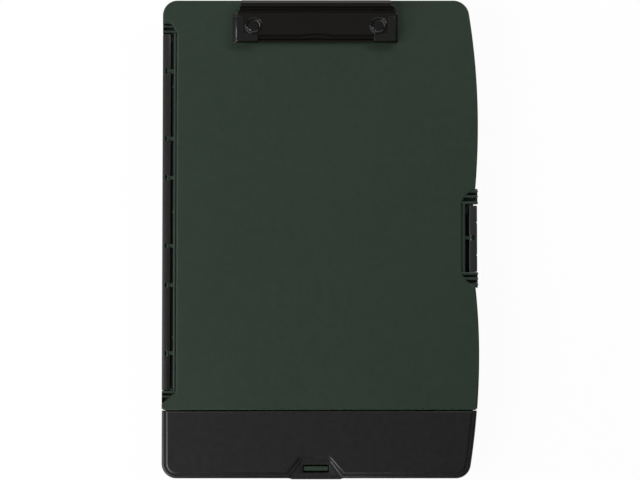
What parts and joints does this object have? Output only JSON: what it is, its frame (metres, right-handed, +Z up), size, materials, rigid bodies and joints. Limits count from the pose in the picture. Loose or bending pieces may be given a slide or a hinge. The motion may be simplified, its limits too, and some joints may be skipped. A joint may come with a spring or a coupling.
{
  "type": "storage clipboard box",
  "caption": "Shallow document box whose hinged cover is a clipboard with a low spring clip, with a side latch and a separate lidded pen tray.",
  "frame": {"origin": "centre of the closed box's footprint, on the surface it lies on", "axes": "+Y along the box towards the clip, +X towards the side latch, +Z up out of the writing surface"},
  "size_m": [0.2606, 0.3944, 0.0339],
  "materials": {
    "green_plastic": "dark green polypropylene, fine texture, low sheen",
    "black_plastic": "black polypropylene, fine texture, soft sheen",
    "clip_lacquer": "black gloss lacquer on sheet steel",
    "grip_rubber": "moulded soft black rubber, smooth",
    "pin_steel": "bright zinc-plated steel"
  },
  "bodies": {
    "tray": {"base_tray": "green_plastic", "pen_lid_hinge_rod": "pin_steel"},
    "bar": {"hinge_bar": "black_plastic", "hinge_pin_cover": "pin_steel", "hinge_pin_base": "pin_steel"},
    "cover": {"main_cover": "green_plastic", "side_latch_pin": "pin_steel", "clip_base_plate": "clip_lacquer", "clip_axle": "pin_steel", "clip_spring_left": "pin_steel", "clip_spring_right": "pin_steel", "clip_rivet_left": "pin_steel", "clip_rivet_right": "pin_steel", "rivet_washer_left": "pin_steel", "rivet_washer_right": "pin_steel"},
    "latch": {"side_latch": "black_plastic"},
    "lid": {"pen_lid": "black_plastic"},
    "clip": {"clip_lever": "clip_lacquer", "clip_grip_left": "grip_rubber", "clip_grip_right": "grip_rubber"}
  },
  "joints": [
    {"name": "bar_swing", "type": "hinge", "parent": "tray", "child": "bar", "pos_m": [-0.1257, 0.0224, 0.0034], "axis": [0, -1, 0], "range_deg": [0, 90]},
    {"name": "cover_swing", "type": "hinge", "parent": "bar", "child": "cover", "pos_m": [-0.1257, 0.0224, 0.0216], "axis": [0, -1, 0], "range_deg": [0, 90]},
    {"name": "latch_swing", "type": "hinge", "parent": "cover", "child": "latch", "pos_m": [0.1243, 0.0003, 0.0216], "axis": [0, -1, 0], "range_deg": [0, 90]},
    {"name": "pen_lid_swing", "type": "hinge", "parent": "tray", "child": "lid", "pos_m": [-0.0037, -0.14445, 0.0217], "axis": [-1, 0, 0], "range_deg": [0, 90]},
    {"name": "clip_lift", "type": "hinge", "parent": "cover", "child": "clip", "pos_m": [-0.0037, 0.1924, 0.0297], "axis": [-1, 0, 0], "range_deg": [0, 30], "stiffness_Nm_per_rad": 0.35, "springref_deg": -45.84}
  ]
}
